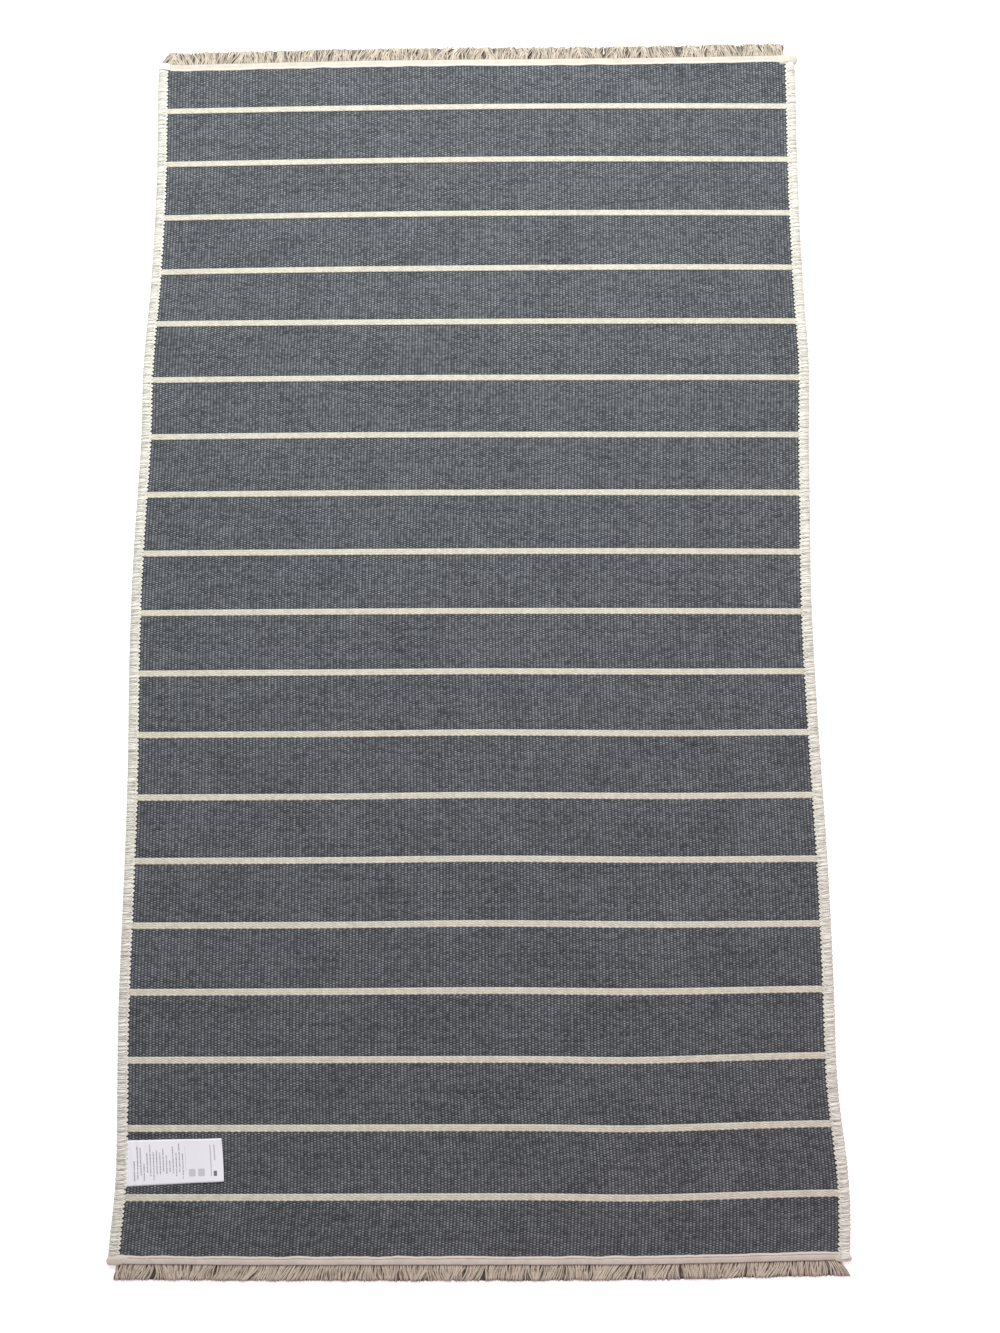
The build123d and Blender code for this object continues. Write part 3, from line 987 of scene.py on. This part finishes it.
def make_cloth(materials):
    """The grey cloth, its cream stripes and its side bindings, from the near end to the far one."""
    for number in range(LAST_STRIPE + 2):
        hinged = number >= FIRST_FOLD
        cloth = woven_stretch(number).make(f"cloth_{number:02d}", materials["grey"])
        if number in (0, LAST_STRIPE + 1):
            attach(cloth, "near_end" if number == 0 else LAST_BODY)
            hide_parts(f"field_band_{max(number, 1):02d}")
            continue
        floats = stripe_floats(number).make(f"stripe_{number:02d}", materials["cream"])
        binding = binding_stretch(number).make(f"binding_{number:02d}", materials["binding"])
        for piece, slot in ((cloth, "grey_field"), (floats, "cream_stripe"), (binding, "edge_binding")):
            bend_or_ride(piece, number)
        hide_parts(f"field_band_{number:02d}")
        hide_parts(f"cream_stripe_{number:02d}" if hinged else "cream_stripes_near")
        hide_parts(f"edge_binding_{number:02d}" if hinged else "edge_binding_near")


def make_ends(materials):
    """The end tapes, each with its turned ends and its seam."""
    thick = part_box("near_end_tape")[1].z - CLOTH_TOP
    near_outer, far_outer = NEAR_TAPE[0] / MM, FAR_TAPE[1] / MM
    near_wraps = (
        dict(root=-284, tip=-300.2, middle=near_outer + 3.25, half_depth=4.1, top=6.5, skew=3.0),
        dict(root=288, tip=301.5, middle=near_outer + 1.65, half_depth=2.8, top=5.3, skew=0.0),
    )
    far_wraps = (
        dict(root=-290, tip=-300.0, middle=far_outer - 4.2, half_depth=3.2, top=5.0, skew=0.0),
        dict(root=284, tip=302.2, middle=far_outer - 4.4, half_depth=4.7, top=6.6, skew=-2.0),
    )
    # name, body, places, whether the inner edge is the higher, reach along x, groove at the seam, ends
    for name, body, y_range, inner_is_high, reach, groove, wraps in (
        ("near", "near_end", NEAR_TAPE, True, (-286 * MM, 291 * MM), 1.0, near_wraps),
        ("far", LAST_BODY, FAR_TAPE, False, (-291 * MM, 288 * MM), 0.0, far_wraps),
    ):
        tape = tape_mesh(y_range, inner_is_high, reach, thick, groove)
        for wrap in wraps:
            tape_wrap(tape, **wrap)
        tape = tape.make(f"{name}_tape", materials["tape"])
        seam = tape_seam(y_range, inner_is_high, thick)
        seam = seam.make(f"{name}_tape_seam", materials["thread"])
        for piece, node, slot in (
            (tape, "end_tape", "end_tape"), (seam, "tape_stitches", "seam_thread"),
        ):
            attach(piece, body)
            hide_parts(f"{name}_{node}")


def make_fringe(materials, name, body, edge, outward, margins, **strands):
    """One fringe, beside its tape. margins move its two sides, in millimetres."""
    low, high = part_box(f"{name}_fringe")
    tip = low.y if outward < 0 else high.y
    span = (low.x + margins[0] * MM, high.x + margins[1] * MM)
    fringe = fringe_strands(edge, outward, tip, span, seed=edge * 100, **strands)
    fringe = fringe.make(f"{name}_fringe_yarns", materials["fringe"])
    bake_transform(fringe)
    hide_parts(f"{name}_fringe")


def make_fringes(materials):
    """A fairly straight fringe at the near end, and a curlier one at the far end."""
    make_fringe(
        materials, "near", "near_end", NEAR_TAPE[0], -1, margins=(-1.5, -1.0),
        layers=NEAR_LAYERS, bends=3.0, sway=-0.35, corners=(-0.20, 0.42),
    )
    make_fringe(
        materials, "far", LAST_BODY, FAR_TAPE[1], 1, margins=(-4.5, 2.8),
        layers=FAR_LAYERS, bends=4.5, sway=0.15, corners=(0.55, 0.2),
    )


def make_label(materials):
    """The care label, which lies loose on the cloth from under the binding."""
    label = label_mesh().make("care_label", materials["label"])
    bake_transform(label)
    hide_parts("label_flap", "label_tail")


def make_stage():
    """A wide white floor, just under the rug."""
    mesh = bpy.data.meshes.new("floor")
    size = 40.0
    level = -0.05 * MM
    corners = [(-size, -size, level), (size, -size, level), (size, size, level), (-size, size, level)]
    mesh.from_pydata(corners, [], [(0, 1, 2, 3)])
    material, _, shader = new_material("floor_paint", 0.9, 0.0, 0.1)
    shader.inputs["Base Color"].default_value = (0.92, 0.92, 0.92, 1)
    shader.inputs["Emission Strength"].default_value = 0.45
    mesh.materials.append(material)
    floor = bpy.data.objects.new("floor", mesh)
    bpy.context.scene.collection.objects.link(floor)


def add_area_light(name, place, target, size, power, colour):
    """A round lamp at a place, turned towards a target."""
    light = bpy.data.lights.new(name, "AREA")
    light.shape = "DISK"
    light.size = size
    light.energy = power
    light.color = colour
    lamp = bpy.data.objects.new(name, light)
    lamp.location = place
    aim = Vector(target) - Vector(place)
    lamp.rotation_euler = aim.to_track_quat("-Z", "Y").to_euler()
    bpy.context.scene.collection.objects.link(lamp)


def make_light():
    """A lamp over the far end, so that the near end is darker, and a weak warm one near the label."""
    world = bpy.data.worlds.new("studio")
    bpy.context.scene.world = world
    world.use_nodes = True
    soft = world.node_tree.nodes["Background"]
    soft.inputs["Color"].default_value = (0.96, 0.93, 0.98, 1)
    soft.inputs["Strength"].default_value = 0.375
    add_area_light(
        "key", place=(0.02, 0.95, 1.35), target=(0, 0.3, 0), size=0.9,
        power=29.4, colour=(0.985, 1.0, 0.995),
    )
    add_area_light(
        "fill", place=(0.8, -0.8, 1.3), target=(0.1, -0.4, 0), size=1.0,
        power=3.2, colour=(1.0, 0.28, 0.45),
    )
    bpy.context.scene.view_settings.view_transform = "Standard"


def make_camera():
    """A wide view from almost straight above, a little nearer to the labelled end."""
    place = (0.0282, -0.1588, 0.8710)
    pitch, roll, yaw = 0.1292, 0.0074, -0.0052
    camera = bpy.data.cameras.new("camera")
    camera.lens = 27.0
    camera.clip_start = 0.01
    eye = bpy.data.objects.new("camera", camera)
    turn = Matrix.Rotation(yaw, 4, "Z") @ Matrix.Rotation(pitch, 4, "X") @ Matrix.Rotation(roll, 4, "Y")
    eye.matrix_world = Matrix.Translation(place) @ turn
    bpy.context.scene.collection.objects.link(eye)
    bpy.context.scene.camera = eye


def make_materials():
    return {
        "grey": grey_weave(),
        "cream": spun_yarn("cream_weft", (0.50, 0.484, 0.397), (0.720, 0.711, 0.583), 0.8),
        "binding": spun_yarn(
            "binding_thread", (0.42, 0.41, 0.35), (0.86, 0.868, 0.765), 0.5,
            sheen=0.15, plies=3.0, depth=0.05, groove_shade=0.93, specular=0.4,
        ),
        "thread": spun_yarn("seam_thread", (0.60, 0.55, 0.48), (0.72, 0.68, 0.60), 0.6),
        # the fringe's near-black dull colour is painted shade on its lowest yarns
        "fringe": spun_yarn("fringe_cotton", (0.095, 0.070, 0.052), (0.70, 0.63, 0.51), 0.85),
        "tape": tape_cotton(),
        "label": label_satin(),
    }


def main():
    materials = make_materials()
    make_cloth(materials)
    make_ends(materials)
    make_fringes(materials)
    make_label(materials)
    make_stage()
    make_light()
    make_camera()


main()
